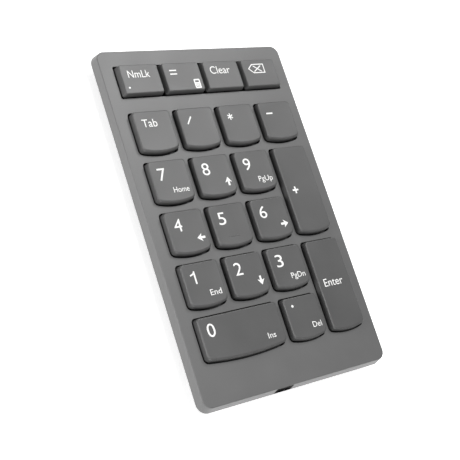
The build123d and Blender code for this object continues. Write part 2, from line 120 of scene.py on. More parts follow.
# ---- finishes shared by several pieces ----------------------------------------------------------
# Three small node groups: the spark-eroded grain of moulded plastic, loose dust that settles on
# upward faces, and the drawn lines of rolled steel. Every material is made from one of them.
def new_group(name, inputs, outputs):
    """An empty shader node group with its sockets, and its two end nodes."""
    group = bpy.data.node_groups.new(name, "ShaderNodeTree")
    for label, value in inputs:
        socket = group.interface.new_socket(label, in_out="INPUT", socket_type="NodeSocketFloat")
        socket.default_value = value
    for label in outputs:
        group.interface.new_socket(label, in_out="OUTPUT", socket_type="NodeSocketFloat")
    start = group.nodes.new("NodeGroupInput")
    end = group.nodes.new("NodeGroupOutput")
    return group, start, end


def noise(tree, vector, scale, detail, roughness=0.5):
    """A noise texture on given coordinates; scale is a number or a socket."""
    node = tree.nodes.new("ShaderNodeTexNoise")
    node.inputs["Detail"].default_value = detail
    node.inputs["Roughness"].default_value = roughness
    tree.links.new(vector, node.inputs["Vector"])
    if isinstance(scale, (int, float)):
        node.inputs["Scale"].default_value = scale
    else:
        tree.links.new(scale, node.inputs["Scale"])
    return node.outputs["Fac"]


def spread(tree, value, low, high, to_low, to_high):
    """Maps a value from one range to another, clamped."""
    node = tree.nodes.new("ShaderNodeMapRange")
    tree.links.new(value, node.inputs["Value"])
    for label, number in (("From Min", low), ("From Max", high),
                          ("To Min", to_low), ("To Max", to_high)):
        node.inputs[label].default_value = number
    return node.outputs["Result"]


def arithmetic(tree, operation, *sides):
    """One math node; each side is a socket or a number."""
    node = tree.nodes.new("ShaderNodeMath")
    node.operation = operation
    for index, side in enumerate(sides):
        if isinstance(side, (int, float)):
            node.inputs[index].default_value = side
        else:
            tree.links.new(side, node.inputs[index])
    return node.outputs[0]


grain_per_metre = 5200.0
pit_share, pit_depth = 0.37, 0.6
clouds_per_metre = 70.0
moulded_grain, start, end = new_group(
    "moulded_grain", [("Grain per metre", grain_per_metre)], ["Height", "Mottle"])
where = moulded_grain.nodes.new("ShaderNodeTexCoord").outputs["Object"]
grain = noise(moulded_grain, where, start.outputs[0], 3.0, 0.6)
pits_per_metre = arithmetic(moulded_grain, "MULTIPLY", start.outputs[0], pit_share)
pits = noise(moulded_grain, where, pits_per_metre, 1.0)
uneven = arithmetic(moulded_grain, "MULTIPLY_ADD", pits, pit_depth, grain)
moulded_grain.links.new(uneven, end.inputs["Height"])
cloud = noise(moulded_grain, where, clouds_per_metre, 3.0)
moulded_grain.links.new(spread(moulded_grain, cloud, 0.3, 0.7, 0.0, 1.0), end.inputs["Mottle"])

settled_dust, start, end = new_group("settled_dust", [("Amount", 0.02)], ["Mask"])
where = settled_dust.nodes.new("ShaderNodeTexCoord").outputs["Object"]
facing = settled_dust.nodes.new("ShaderNodeSeparateXYZ")
settled_dust.links.new(
    settled_dust.nodes.new("ShaderNodeNewGeometry").outputs["Normal"], facing.inputs[0])
specks_per_metre, patches_per_metre = 3600.0, 95.0
specks = noise(settled_dust, where, specks_per_metre, 1.0)
loose = spread(settled_dust, specks, 0.71, 0.76, 0.0, 1.0)
patches = noise(settled_dust, where, patches_per_metre, 2.0)
for mask in (spread(settled_dust, patches, 0.45, 0.7, 0.0, 1.0),
             spread(settled_dust, facing.outputs["Z"], 0.6, 1.0, 0.0, 1.0),
             start.outputs["Amount"]):
    loose = arithmetic(settled_dust, "MULTIPLY", loose, mask)
settled_dust.links.new(loose, end.inputs["Mask"])

lines_per_metre = 2400.0
stretch_along_x = 0.03
drawn_lines, start, end = new_group(
    "drawn_lines", [("Lines per metre", lines_per_metre)], ["Height", "Streak"])
where = drawn_lines.nodes.new("ShaderNodeTexCoord").outputs["Object"]
stretch = drawn_lines.nodes.new("ShaderNodeMapping")
stretch.inputs["Scale"].default_value = (stretch_along_x, 1.0, 1.0)
drawn_lines.links.new(where, stretch.inputs["Vector"])
lines = noise(drawn_lines, stretch.outputs["Vector"], start.outputs[0], 4.0, 0.6)
drawn_lines.links.new(lines, end.inputs["Height"])
drawn_lines.links.new(spread(drawn_lines, lines, 0.35, 0.65, 0.0, 1.0), end.inputs["Streak"])


def mixed(tree, factor, first, second):
    """A mix of two colours by a mask; each is a socket or a plain colour."""
    node = tree.nodes.new("ShaderNodeMix")
    node.data_type = "RGBA"
    for label, side in (("A", first), ("B", second)):
        if isinstance(side, tuple):
            node.inputs[label].default_value = (*side, 1)
        else:
            tree.links.new(side, node.inputs[label])
    tree.links.new(factor, node.inputs["Factor"])
    return node.outputs["Result"]


def patterned(name, group, scale, mask, colours, gloss, bump, depth):
    """A material whose tone, gloss and relief all follow one of the shared patterns. It is returned
    with its tone, which isn't linked yet."""
    material = bpy.data.materials.new(name)
    material.use_nodes = True
    tree = material.node_tree
    surface = tree.nodes["Principled BSDF"]
    texture = tree.nodes.new("ShaderNodeGroup")
    texture.node_tree = group
    texture.inputs[0].default_value = scale
    roughness = spread(tree, texture.outputs[mask], 0.0, 1.0, *gloss)
    tree.links.new(roughness, surface.inputs["Roughness"])
    relief = tree.nodes.new("ShaderNodeBump")
    relief.inputs["Strength"].default_value = bump
    relief.inputs["Distance"].default_value = depth * mm
    tree.links.new(texture.outputs["Height"], relief.inputs["Height"])
    tree.links.new(relief.outputs["Normal"], surface.inputs["Normal"])
    return material, mixed(tree, texture.outputs[mask], *colours)


def moulded(name, dark, light, rough_low, rough_high, grains=grain_per_metre, depth=0.012, dust=0.0):
    """A moulded finish: a tone between two colours, grain in the relief, uneven gloss, some dust."""
    material, tone = patterned(
        name, moulded_grain, grains, "Mottle", (dark, light), (rough_low, rough_high), 0.5, depth)
    tree = material.node_tree
    if dust:
        film = tree.nodes.new("ShaderNodeGroup")
        film.node_tree = settled_dust
        film.inputs["Amount"].default_value = dust
        tone = mixed(tree, film.outputs["Mask"], tone, (0.6, 0.58, 0.55))
    tree.links.new(tone, tree.nodes["Principled BSDF"].inputs["Base Color"])
    return material


def drawn_metal(name, dark, light, rough_low, rough_high, lines=lines_per_metre):
    """Rolled or drawn metal with fine lines along X."""
    material, tone = patterned(
        name, drawn_lines, lines, "Streak", (dark, light), (rough_low, rough_high), 0.3, 0.004)
    tree = material.node_tree
    surface = tree.nodes["Principled BSDF"]
    surface.inputs["Metallic"].default_value = 1.0
    tree.links.new(tone, surface.inputs["Base Color"])
    return material


def dress(node, material):
    """Gives a piece kept from the frame its own finish."""
    for place in nodes[node].material_slots:
        place.material = material


def add_piece(name, bm, material, body, smooth=True, closed=True):
    """Turns built faces into a piece that rides on a body; a closed one's faces look outwards."""
    if closed:
        bmesh.ops.recalc_face_normals(bm, faces=bm.faces)
    mesh = bpy.data.meshes.new(name)
    bm.to_mesh(mesh)
    bm.free()
    piece = bpy.data.objects.new(name, mesh)
    scene.collection.objects.link(piece)
    mesh.materials.append(material)
    for polygon in mesh.polygons:
        polygon.use_smooth = smooth
    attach(piece, body)
    return piece


def box_of(node):
    """Lowest and highest corners of a node, in millimetres."""
    low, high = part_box(node)
    return Vector(low) / mm, Vector(high) / mm


# ---- top case -----------------------------------------------------------------------------------
# Injection-moulded polycarbonate blend in dark grey, with a fine even texture. Its walls lean out
# a little for draft, and its key openings are cut by the mould. The frame's mesh is kept.
dress("top_case", moulded("case_grey", (0.106, 0.106, 0.106), (0.112, 0.112, 0.112),
                          0.38, 0.42, grains=6500.0, depth=0.006, dust=0.05))

# ---- bottom cover, feet and screws --------------------------------------------------------------
# The cover is a shallow tub of darker plastic with a coarser texture. Four rubber feet are glued
# into its seats, and six small screws hold it to the case from below.
dress("bottom_cover", moulded("cover_black", (0.020, 0.020, 0.021), (0.026, 0.026, 0.027),
                              0.5, 0.62, grains=2600.0, depth=0.03, dust=0.03))
dress("rubber_feet", moulded("foot_rubber", (0.012, 0.012, 0.012), (0.020, 0.020, 0.020),
                             0.72, 0.85, grains=3000.0, depth=0.02, dust=0.06))
dress("cover_screws", drawn_metal("screw_black_zinc", (0.05, 0.05, 0.055), (0.10, 0.10, 0.11),
                                  0.3, 0.45))

# ---- backplate and membrane ---------------------------------------------------------------------
# A stamped sheet of zinc-coated steel carries the keys on small hooks. The membrane over it is
# printed polyester film, black; its near-black tone is painted shade for the floor of the gaps.
dress("backplate", drawn_metal("zinc_sheet", (0.30, 0.30, 0.31), (0.42, 0.42, 0.43), 0.35, 0.5))
dress("membrane", moulded("film_painted_shade", (0.006, 0.006, 0.007), (0.009, 0.009, 0.010),
                          0.45, 0.6, grains=1500.0, depth=0.004))

# ---- the keys' grid -----------------------------------------------------------------------------
# Five rows of caps with bowed front edges under one slot of four plain caps. Each entry holds the
# middle of its opening, its rear edge, its width and its depth, in millimetres.
column_pitch = 19.0
row_pitch = 19.53
opening_width = 17.1
opening_depth = 17.57
tall_depth = opening_depth + row_pitch
wide_width = opening_width + column_pitch
case_top = 10.2
cap_bottom = 9.65
cap_top = 12.585
roof_underside = 11.5
slot_rear = 61.175
slot_depth = 13.1
rib_below_slot = 5.8
columns = [column_pitch * (i - 1.5) for i in range(4)]
rows = [slot_rear - slot_depth - rib_below_slot - row_pitch * i for i in range(5)]
plain_rows = (("tab", "divide", "multiply", "minus"), ("7", "8", "9"), ("4", "5", "6"), ("1", "2", "3"))
keys = {}
for row, names in enumerate(plain_rows):
    for column, name in enumerate(names):
        keys[name] = (columns[column], rows[row], opening_width, opening_depth)
keys["plus"] = (columns[3], rows[1], opening_width, tall_depth)
keys["enter"] = (columns[3], rows[3], opening_width, tall_depth)
keys["0"] = ((columns[0] + columns[1]) / 2, rows[4], wide_width, opening_depth)
keys["point"] = (columns[2], rows[4], opening_width, opening_depth)
top_pitch = 18.475
top_width = 17.675
top_keys = {}
for i, name in enumerate(("num_lock", "equals", "clear", "backspace")):
    top_keys[name] = (top_pitch * (i - 1.5), slot_rear, top_width, slot_depth)
all_keys = {**keys, **top_keys}

# ---- keycaps ------------------------------------------------------------------------------------
# Moulded caps, each a thin shell with clips inside for its links. The walls are nearly upright, the
# top edge is softly rounded, broadly at the front, and the top is slightly dished for the finger.
key_gap = 0.57
smile_sag = 1.36
cap_wall = 0.84
cap_finish = moulded("key_grey", (0.073, 0.073, 0.073), (0.079, 0.079, 0.079),
                     0.35, 0.40, grains=7500.0, depth=0.006, dust=0.05)
# The lower skirt of each cap, inside the opening, is painted black: painted shade for the dark gap
# round the cap.
gap_shade_black, gap_shade_full, gap_shade_none = (0.008, 0.008, 0.008), 10.0, 10.2
tree = cap_finish.node_tree
surface = tree.nodes["Principled BSDF"]
coating = surface.inputs["Base Color"].links[0].from_socket
place = tree.nodes.new("ShaderNodeSeparateXYZ")
tree.links.new(tree.nodes.new("ShaderNodeTexCoord").outputs["Object"], place.inputs[0])
# Painted shade: the cap's colour turns black below the case's top, over 0.2 mm.
above_gap_shade = spread(tree, place.outputs["Z"], gap_shade_full * mm, gap_shade_none * mm, 0.0, 1.0)
tree.links.new(mixed(tree, above_gap_shade, gap_shade_black, coating), surface.inputs["Base Color"])
surface.inputs["Specular IOR Level"].default_value = 0.45


def half_plan(half_width, rear, front, sag, rear_round, front_round):
    """Right half of a cap's plan, from the middle of its rear edge to the middle of its front edge:
    points, and how far each one belongs to the front and to the rear."""
    straight_steps, rear_steps, corner_steps, bow_steps = 5, 7, 10, 8
    points = []
    for i in range(straight_steps):
        points.append((i / straight_steps * (half_width - rear_round), rear, 0, 1))
    for i in range(rear_steps + 1):
        share = i / rear_steps
        angle = math.pi / 2 * (1 - share)
        points.append((half_width - rear_round + rear_round * math.cos(angle),
                       rear - rear_round + rear_round * math.sin(angle), 0, 1 - share))
    across = half_width - front_round
    if sag:
        bow = (half_width ** 2 + sag ** 2) / (2 * sag)
        bow_y = front + bow
        corner_y = bow_y - math.sqrt((bow - front_round) ** 2 - across ** 2)
        last = math.atan2(corner_y - bow_y, across)
    else:
        corner_y = front + front_round
        last = -math.pi / 2
    for i in range(1, straight_steps):
        share = i / straight_steps
        points.append((half_width, (rear - rear_round) * (1 - share) + corner_y * share, 0, 0))
    for i in range(corner_steps + 1):
        share = i / corner_steps
        angle = last * share
        points.append((across + front_round * math.cos(angle),
                       corner_y + front_round * math.sin(angle), share, 0))
    for i in range(1, bow_steps + 1):
        share = i / bow_steps
        if sag:
            angle = last * (1 - share) - math.pi / 2 * share
            points.append((bow * math.cos(angle), bow_y + bow * math.sin(angle), 1, 0))
        else:
            points.append((across * (1 - share), front, 1, 0))
    return points


def whole_plan(half_width, rear, front, sag, rear_round, front_round):
    """The closed plan, once round from the middle of the rear edge."""
    half = half_plan(half_width, rear, front, sag, rear_round, front_round)
    return half + [(-x, y, at_front, at_rear) for x, y, at_front, at_rear in half[-2:0:-1]]


def smooth_step(share):
    """Eases a share from 0 to 1."""
    return share * share * (3 - 2 * share)


def ring_loft(bm, rings):
    """Joins equal rings of points, in millimetres, with quads and returns the rings of vertices."""
    made = [[bm.verts.new(Vector(point) * mm) for point in ring] for ring in rings]
    for low, high in zip(made, made[1:]):
        count = len(low)
        for i in range(count):
            j = (i + 1) % count
            bm.faces.new((low[i], high[i], high[j], low[j]))
    return made


def block(bm, low, high):
    """A plain box between two corners, in millimetres."""
    corners = [bm.verts.new(Vector((px, py, pz)) * mm)
               for px in (low[0], high[0]) for py in (low[1], high[1]) for pz in (low[2], high[2])]
    for face in ((0, 1, 3, 2), (4, 6, 7, 5), (0, 4, 5, 1), (2, 3, 7, 6), (0, 2, 6, 4), (1, 5, 7, 3)):
        bm.faces.new([corners[i] for i in face])


dish_power = 2.5


def dish_height(dish, px, py):
    """Height of a cap's top at a point: deepest in the middle, level at the edges."""
    middle_x, middle_y, half_x, half_y, deepest = dish
    u = min(1.0, abs(px - middle_x) / half_x)
    v = min(1.0, abs(py - middle_y) / half_y)
    return cap_top - deepest * (1 - u ** dish_power) * (1 - v ** dish_power)


clip_x, clip_y, clip_half_width, clip_half_thick, clip_drop = 4.0, 4.9, 0.8, 0.15, 0.8
hollow_bow, hollow_corners = 0.75, (0.6, 1.2)
lean_at_case, lean_at_middle = 0.22, 0.6
round_steps = 9
dish_rings = (0.985, 0.95, 0.88, 0.78, 0.66, 0.54, 0.42, 0.3, 0.18, 0.07)
dishes = {}
for name, (x, rear, width, depth) in all_keys.items():
    flat_row = name in top_keys
    half_width = width / 2 if flat_row else width / 2 - key_gap
    back_y = -key_gap
    front_y = -depth + key_gap
    if flat_row:
        sag, corners, deepest = 0, (0.7, 0.7), 0.08
        leans = {"side": 0.72, "front": 0.2, "rear": 0.2}
        rounds = {"side": 0.3, "front": 0.45, "rear": 0.3}
    else:
        sag, corners, deepest = smile_sag, (1.2, 1.8), 0.1
        leans = {"side": 0.1, "front": 0.05, "rear": 0.1}
        rounds = {"side": 0.4, "front": 0.95, "rear": 0.4}

    def level_ring(share, bend):
        """One ring: share of the lean reached, and angle of the top rounding."""
        inset = {edge: leans[edge] * share + rounds[edge] * (1 - math.cos(bend)) for edge in leans}
        half = half_width - inset["side"]
        bow = sag * (half / half_width) ** 2
        return whole_plan(half, back_y - inset["rear"], front_y + inset["front"], bow, *corners)

    rings = []
    for z, share in ((cap_bottom, 0.0), (case_top, lean_at_case),
                     ((case_top + cap_top) / 2, lean_at_middle)):
        rings.append([(x + px, rear + py, z) for px, py, _, _ in level_ring(share, 0.0)])
    for step in range(1 if flat_row else 0, round_steps + 1):
        bend = math.pi / 2 * step / round_steps
        ring = []
        for px, py, at_front, at_rear in level_ring(1.0, bend):
            radius = rounds["side"] + (rounds["front"] - rounds["side"]) * smooth_step(at_front)
            radius += (rounds["rear"] - rounds["side"]) * smooth_step(at_rear)
            ring.append((x + px, rear + py, cap_top - radius * (1 - math.sin(bend))))
        rings.append(ring)
    edge = rings[-1]
    low_x, high_x = min(p[0] for p in edge), max(p[0] for p in edge)
    low_y, high_y = min(p[1] for p in edge), max(p[1] for p in edge)
    middle = Vector(((low_x + high_x) / 2, (low_y + high_y) / 2))
    dish = (middle.x, middle.y, (high_x - low_x) / 2, (high_y - low_y) / 2, deepest)
    dishes[name] = dish
    for scale in dish_rings:
        ring = []
        for px, py, _ in edge:
            qx = middle.x + (px - middle.x) * scale
            qy = middle.y + (py - middle.y) * scale
            ring.append((qx, qy, dish_height(dish, qx, qy)))
        rings.append(ring)
    bm = bmesh.new()
    made = ring_loft(bm, rings)
    crown = bm.verts.new(Vector((middle.x, middle.y, cap_top - deepest)) * mm)
    hollow = whole_plan(half_width - cap_wall, back_y - cap_wall, front_y + cap_wall,
                        sag * hollow_bow, *hollow_corners)
    inner = ring_loft(bm, [[(x + px, rear + py, z) for px, py, _, _ in hollow]
                           for z in (cap_bottom, roof_underside)])
    roof = bm.verts.new(Vector((middle.x, middle.y, roof_underside)) * mm)
    count = len(edge)
    for i in range(count):
        j = (i + 1) % count
        bm.faces.new((made[-1][i], crown, made[-1][j]))
        bm.faces.new((made[0][i], made[0][j], inner[0][j], inner[0][i]))
        bm.faces.new((inner[1][i], inner[1][j], roof))
    key_y = rear - depth / 2
    for side in (-1, 1):
        for end in (-1, 1):
            cx, cy = x + side * clip_x, key_y + end * clip_y
            block(bm, (cx - clip_half_width, cy - clip_half_thick, roof_underside - clip_drop),
                  (cx + clip_half_width, cy + clip_half_thick, roof_underside))
    cap = add_piece("cap_" + name, bm, cap_finish, "key_" + name)
    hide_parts("key_" + name)

# ---- printed legends ----------------------------------------------------------------------------
# White ink, pad-printed on the tops of the caps: plain words, digits and small signs, each laid on
# the dish of its own cap.
ink = moulded("white_ink", (0.80, 0.80, 0.79), (0.86, 0.86, 0.85),
              0.5, 0.6, grains=9000.0, depth=0.003)
ink_thickness = 0.012
capital_height = 0.682


def flat_mesh(curve):
    """The filled faces of a curve, which is removed."""
    holder = bpy.data.objects.new(curve.name, curve)
    mesh = bpy.data.meshes.new_from_object(holder)
    bpy.data.objects.remove(holder)
    bpy.data.curves.remove(curve)
    return mesh


def words(text, left, right, base, height):
    """Plain lettering between two sides on a base line, as a flat mesh about the key's own origin."""
    curve = bpy.data.curves.new("lettering", "FONT")
    curve.body = text
    curve.size = height / capital_height
    curve.resolution_u = 6
    curve.fill_mode = "BOTH"
    mesh = flat_mesh(curve)
    low = min(v.co.x for v in mesh.vertices)
    high = max(v.co.x for v in mesh.vertices)
    for v in mesh.vertices:
        v.co.x = left + (v.co.x - low) * (right - left) / (high - low)
        v.co.y += base
    return mesh


def sign(*loops):
    """A filled sign from closed outlines; an outline inside another cuts a hole."""
    curve = bpy.data.curves.new("sign", "CURVE")
    curve.dimensions = "2D"
    curve.fill_mode = "BOTH"
    for loop in loops:
        spline = curve.splines.new("POLY")
        spline.points.add(len(loop) - 1)
        for point, (px, py) in zip(spline.points, loop):
            point.co = (px, py, 0, 1)
        spline.use_cyclic_u = True
    return flat_mesh(curve)


def rectangle(left, right, low, high):
    """A rectangle with sharp corners."""
    return [(left, low), (right, low), (right, high), (left, high)]


def rounded(left, right, low, high, radius):
    """A rectangle with round corners."""
    corner_steps = 4
    loop = []
    for cx, cy, first in ((right - radius, low + radius, -90), (right - radius, high - radius, 0),
                          (left + radius, high - radius, 90), (left + radius, low + radius, 180)):
        for i in range(corner_steps + 1):
            angle = math.radians(first + 90 * i / corner_steps)
            loop.append((cx + radius * math.cos(angle), cy + radius * math.sin(angle)))
    return loop


def circle(cx, cy, radius, segments):
    """Points once round a circle."""
    return [(cx + radius * math.cos(math.tau * i / segments),
             cy + radius * math.sin(math.tau * i / segments)) for i in range(segments)]


def stroke(start, end, width):
    """A straight stroke of a given width."""
    start, end = Vector(start), Vector(end)
    along = end - start
    side = Vector((-along.y, along.x)).normalized() * width / 2
    return [tuple(start + side), tuple(start - side), tuple(end - side), tuple(end + side)]


def arrow(cx, cy, quarter_turns):
    """A solid arrow with a winged head; unturned it points right."""
    tip, tail, wing, barb, neck, thick = 1.7, -1.7, 1.52, -0.45, -0.05, 0.42
    loop = [(tip, 0), (barb, wing), (neck, thick), (tail, thick),
            (tail, -thick), (neck, -thick), (barb, -wing)]
    turned = []
    for px, py in loop:
        for _ in range(quarter_turns):
            px, py = -py, px
        turned.append((cx + px, cy + py))
    return turned


# Places are measured from the middle of each opening's rear edge.
digit_base, digit_height, digit_left, digit_right = -8.2, 4.65, -5.0, -1.72
second_base, second_height = -13.2, 2.1
star_x, star_y, star_arm = -3.7, -5.4, 1.35
arrow_x, arrow_y = 4.9, -11.5
legends = {
    "tab": [words("Tab", -4.9, 1.4, -6.8, 3.0)],
    "divide": [sign(stroke((-4.65, -7.05), (-2.45, -4.1), 0.55))],
    "multiply": [sign(stroke((star_x - star_arm * math.cos(a), star_y - star_arm * math.sin(a)),
                             (star_x + star_arm * math.cos(a), star_y + star_arm * math.sin(a)),
                             0.45))
                 for a in (math.pi / 2, math.pi / 6, -math.pi / 6)],
    "minus": [sign(rectangle(-5.1, -1.95, -5.75, -5.15))],
    "plus": [sign([(-5.0, -18.95), (-3.95, -18.95), (-3.95, -20.0), (-3.25, -20.0), (-3.25, -18.95),
                   (-2.2, -18.95), (-2.2, -18.25), (-3.25, -18.25), (-3.25, -17.2), (-3.95, -17.2),
                   (-3.95, -18.25), (-5.0, -18.25)])],
    "enter": [words("Enter", -5.3, 3.95, -19.1, 3.0)],
    "point": [sign(circle(-4.3, -3.9, 0.5, 24)), words("Del", 2.2, 6.3, second_base, second_height)],
    "num_lock": [words("NmLk", -5.3, 4.0, -5.95, 2.9)],
    "clear": [words("Clear", -5.6, 3.8, -6.0, 3.1)],
}
# The lettering's own 1 is a plain bar, so that one is drawn with its flag.
flagged_one = sign([(-3.4, -8.2), (-2.75, -8.2), (-2.75, -3.55), (-3.2, -3.55), (-3.65, -4.25),
                    (-4.9, -4.75), (-4.9, -5.3), (-3.95, -4.98), (-3.4, -4.65)])
for digit in "789456123":
    legends[digit] = [flagged_one if digit == "1" else
                      words(digit, digit_left, digit_right, digit_base, digit_height)]
for digit, text, left, right in (("7", "Home", -0.5, 6.1), ("9", "PgUp", -0.1, 6.45),
                                 ("1", "End", 1.2, 5.95), ("3", "PgDn", -0.1, 6.45)):
    legends[digit].append(words(text, left, right, second_base, second_height))
for digit, place_x, quarter_turns in (("8", arrow_x, 1), ("4", arrow_x - 0.3, 2),
                                      ("6", arrow_x, 0), ("2", arrow_x, 3)):
    legends[digit].append(sign(arrow(place_x, arrow_y, quarter_turns)))
half_column = column_pitch / 2
legends["0"] = [
    words("0", -4.95 - half_column, -1.65 - half_column, -7.9, digit_height),
    words("Ins", 0.15 + half_column, 3.6 + half_column, second_base, second_height),
]
# A small calculator: its body, its screen, and nine buttons.
button_left, button_low, button_width, button_height = 4.4, -10.05, 0.36, 0.3
legends["equals"] = [
    sign(rectangle(-5.6, -2.5, -4.05, -3.55)), sign(rectangle(-5.6, -2.5, -5.55, -5.05)),
    sign(rounded(3.9, 6.6, -11.65, -7.8, 0.35), rectangle(4.4, 6.1, -9.2, -8.35),
         *[rectangle(button_left + across, button_left + across + button_width,
                     button_low - down, button_low - down + button_height)
           for across in (0, 0.62, 1.24) for down in (0, 0.55, 1.1)]),
]
cross_left, cross_right, cross_low, cross_high = -2.9, 0.8, -6.0, -3.5
legends["backspace"] = [
    sign([(-5.7, -4.68), (-3.4, -2.65), (2.4, -2.65), (2.4, -6.7), (-3.4, -6.7)],
         [(-5.1, -4.68), (-3.25, -3.05), (2.0, -3.05), (2.0, -6.3), (-3.25, -6.3)]),
    sign(stroke((cross_left, cross_low), (cross_right, cross_high), 0.42)),
    sign(stroke((cross_left, cross_high), (cross_right, cross_low), 0.42)),
]
longest_edge = 1.2
for name, prints in legends.items():
    x, rear, width, depth = all_keys[name]
    bm = bmesh.new()
    for flat in prints:
        bm.from_mesh(flat)
    long_edges = [edge for edge in bm.edges if edge.calc_length() > longest_edge]
    bmesh.ops.subdivide_edges(bm, edges=long_edges, cuts=1)
    for v in bm.verts:
        px, py = v.co.x + x, v.co.y + rear
        v.co = Vector((px, py, dish_height(dishes[name], px, py) + ink_thickness)) * mm
    bmesh.ops.recalc_face_normals(bm, faces=bm.faces)
    for face in bm.faces:
        if face.normal.z < 0:
            face.normal_flip()
    add_piece("legend_" + name, bm, ink, "key_" + name, smooth=False, closed=False)

# ---- homing bar of the 5 key --------------------------------------------------------------------
# A low rounded rib moulded on the front half of the middle key, found by the finger.
bar_left, bar_right, bar_y, bar_half, bar_rise, bar_sunk = -2.7, 2.5, -13.0, 0.25, 0.084, 0.04
bar_steps, arch_steps, end_size = 12, 8, 0.25
x, rear, width, depth = keys["5"]
bm = bmesh.new()
sections = []
for i in range(bar_steps + 1):
    along = bar_left + (bar_right - bar_left) * i / bar_steps
    swell = min(1.0, 3.0 * min(i, bar_steps - i) / bar_steps + end_size)
    ground = dish_height(dishes["5"], x + along, rear + bar_y)
    ring = []
    for k in range(arch_steps + 1):
        angle = math.pi * k / arch_steps
        ring.append((x + along, rear + bar_y + bar_half * swell * math.cos(angle),
                     ground - bar_sunk + (bar_rise * swell + bar_sunk) * math.sin(angle)))
    sections.append(ring)
made = ring_loft(bm, sections)
bm.faces.new(made[0])
bm.faces.new(made[-1][::-1])
add_piece("homing_bar", bm, cap_finish, "key_5")

# ---- indicator window ---------------------------------------------------------------------------
# A small rod of milky acrylic pressed through the num lock cap; it carries the light of a diode.
milky = moulded("milky_acrylic", (0.72, 0.74, 0.74), (0.80, 0.82, 0.82),
                0.12, 0.2, grains=3000.0, depth=0.001)
surface = milky.node_tree.nodes["Principled BSDF"]
surface.inputs["Transmission Weight"].default_value = 0.25
surface.inputs["Coat Weight"].default_value = 0.4
dress("num_lock_lens", milky)

# ---- rubber domes -------------------------------------------------------------------------------
# One silicone dome under each cap: a flat rim, a thin skirt that buckles, and a crown with a
# hollow under it. Each is glued to the membrane.
dome_rubber = moulded("dome_silicone", (0.16, 0.16, 0.155), (0.22, 0.22, 0.215),
                      0.45, 0.6, grains=2500.0, depth=0.01)
dome_outside = [(2.4, 7.5), (3.0, 7.5), (3.0, 7.72), (2.86, 7.86), (2.5, 8.3), (2.1, 9.2),
                (1.85, 10.2), (1.72, 10.9), (1.6, 11.2), (1.4, 11.36), (1.0, 11.4), (0.5, 11.36),
                (0.02, 11.34)]
dome_inside = [(0.02, 10.6), (0.7, 10.6), (1.25, 10.5), (1.5, 10.1), (1.75, 9.2), (2.15, 8.35),
               (2.45, 7.9)]
dome_segments = 40


def turned(bm, profile, cx, cy):
    """Turns a profile about an upright axis."""
    return ring_loft(bm, [[(px, py, z) for px, py in circle(cx, cy, radius, dome_segments)]
                          for radius, z in profile])


for name, (x, rear, width, depth) in all_keys.items():
    key_y = rear - depth / 2
    bm = bmesh.new()
    made = turned(bm, dome_outside, x, key_y)
    bm.faces.new(made[-1])
    under = turned(bm, dome_inside, x, key_y)
    bm.faces.new(under[0])
    for k in range(dome_segments):
        j = (k + 1) % dome_segments
        bm.faces.new((under[-1][k], under[-1][j], made[0][j], made[0][k]))
    dome = add_piece("dome_" + name, bm, dome_rubber, "chassis")
    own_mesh(dome)
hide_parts("rubber_domes")

# ---- scissor links ------------------------------------------------------------------------------
# Two moulded frames of natural acetal per key, crossed on a pair of pins: they keep the cap level
# wherever it is struck. The wide frame's arms run outside the narrow one's.
acetal = moulded("natural_acetal", (0.62, 0.61, 0.57), (0.70, 0.69, 0.65),
                 0.35, 0.45, grains=4000.0, depth=0.004)
link_low_z, link_high_z, link_reach = 7.95, 11.05, 4.25
wide_outer, wide_inner, narrow_outer, narrow_inner = 5.6, 4.7, 4.45, 3.55
arm_half_thick, bar_radius, bar_bite = 0.33, 0.3, 0.05
pin_radius, pin_start, pin_end = 0.32, 4.0, 5.55
boss_radius, boss_start, boss_end = 0.7, 3.6, 4.4


def round_bar(bm, start, end, radius, segments=12):
    """A round rod between two points."""
    start, end = Vector(start), Vector(end)
    along = (end - start).normalized()
    side = along.orthogonal().normalized()
    other = along.cross(side)
    small, bevel = radius * 0.6, along * radius * 0.3
    rings = []
    for place, size in ((start, small), (start + bevel, radius), (end - bevel, radius), (end, small)):
        rings.append([place + side * px + other * py for px, py in circle(0, 0, size, segments)])
    made = ring_loft(bm, rings)
    bm.faces.new(made[0])
    bm.faces.new(made[-1])


def flat_arm(bm, x_low, x_high, start, end):
    """One arm of a link: a flat bar with rounded ends, lying between two heights."""
    end_steps = 8
    (y0, z0), (y1, z1) = start, end
    slope = math.atan2(z1 - z0, y1 - y0)
    outline = []
    for cy, cz, first in ((y1, z1, slope - math.pi / 2), (y0, z0, slope + math.pi / 2)):
        for k in range(end_steps + 1):
            angle = first + math.pi * k / end_steps
            outline.append((cy + arm_half_thick * math.cos(angle),
                            cz + arm_half_thick * math.sin(angle)))
    low = [bm.verts.new(Vector((x_low, py, pz)) * mm) for py, pz in outline]
    high = [bm.verts.new(Vector((x_high, py, pz)) * mm) for py, pz in outline]
    bm.faces.new(low)
    bm.faces.new(high[::-1])
    for k in range(len(low)):
        j = (k + 1) % len(low)
        bm.faces.new((low[k], high[k], high[j], low[j]))


for name, (x, rear, width, depth) in all_keys.items():
    key_y = rear - depth / 2
    bm = bmesh.new()
    for outer, inner, front_z, rear_z in ((wide_outer, wide_inner, link_low_z, link_high_z),
                                          (narrow_outer, narrow_inner, link_high_z, link_low_z)):
        ends = ((key_y - link_reach, front_z), (key_y + link_reach, rear_z))
        flat_arm(bm, x - outer, x - inner, *ends)
        flat_arm(bm, x + inner, x + outer, *ends)
        for end in ends:
            round_bar(bm, (x - inner - bar_bite, *end), (x + inner + bar_bite, *end), bar_radius)
    pin_z = (link_low_z + link_high_z) / 2
    for side in (-1, 1):
        round_bar(bm, (x + side * pin_start, key_y, pin_z), (x + side * pin_end, key_y, pin_z),
                  pin_radius)
        round_bar(bm, (x + side * boss_start, key_y, pin_z), (x + side * boss_end, key_y, pin_z),
                  boss_radius, 20)
    links = add_piece("links_" + name, bm, acetal, "chassis", smooth=False)
    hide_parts("scissor_" + name)
    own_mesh(links)

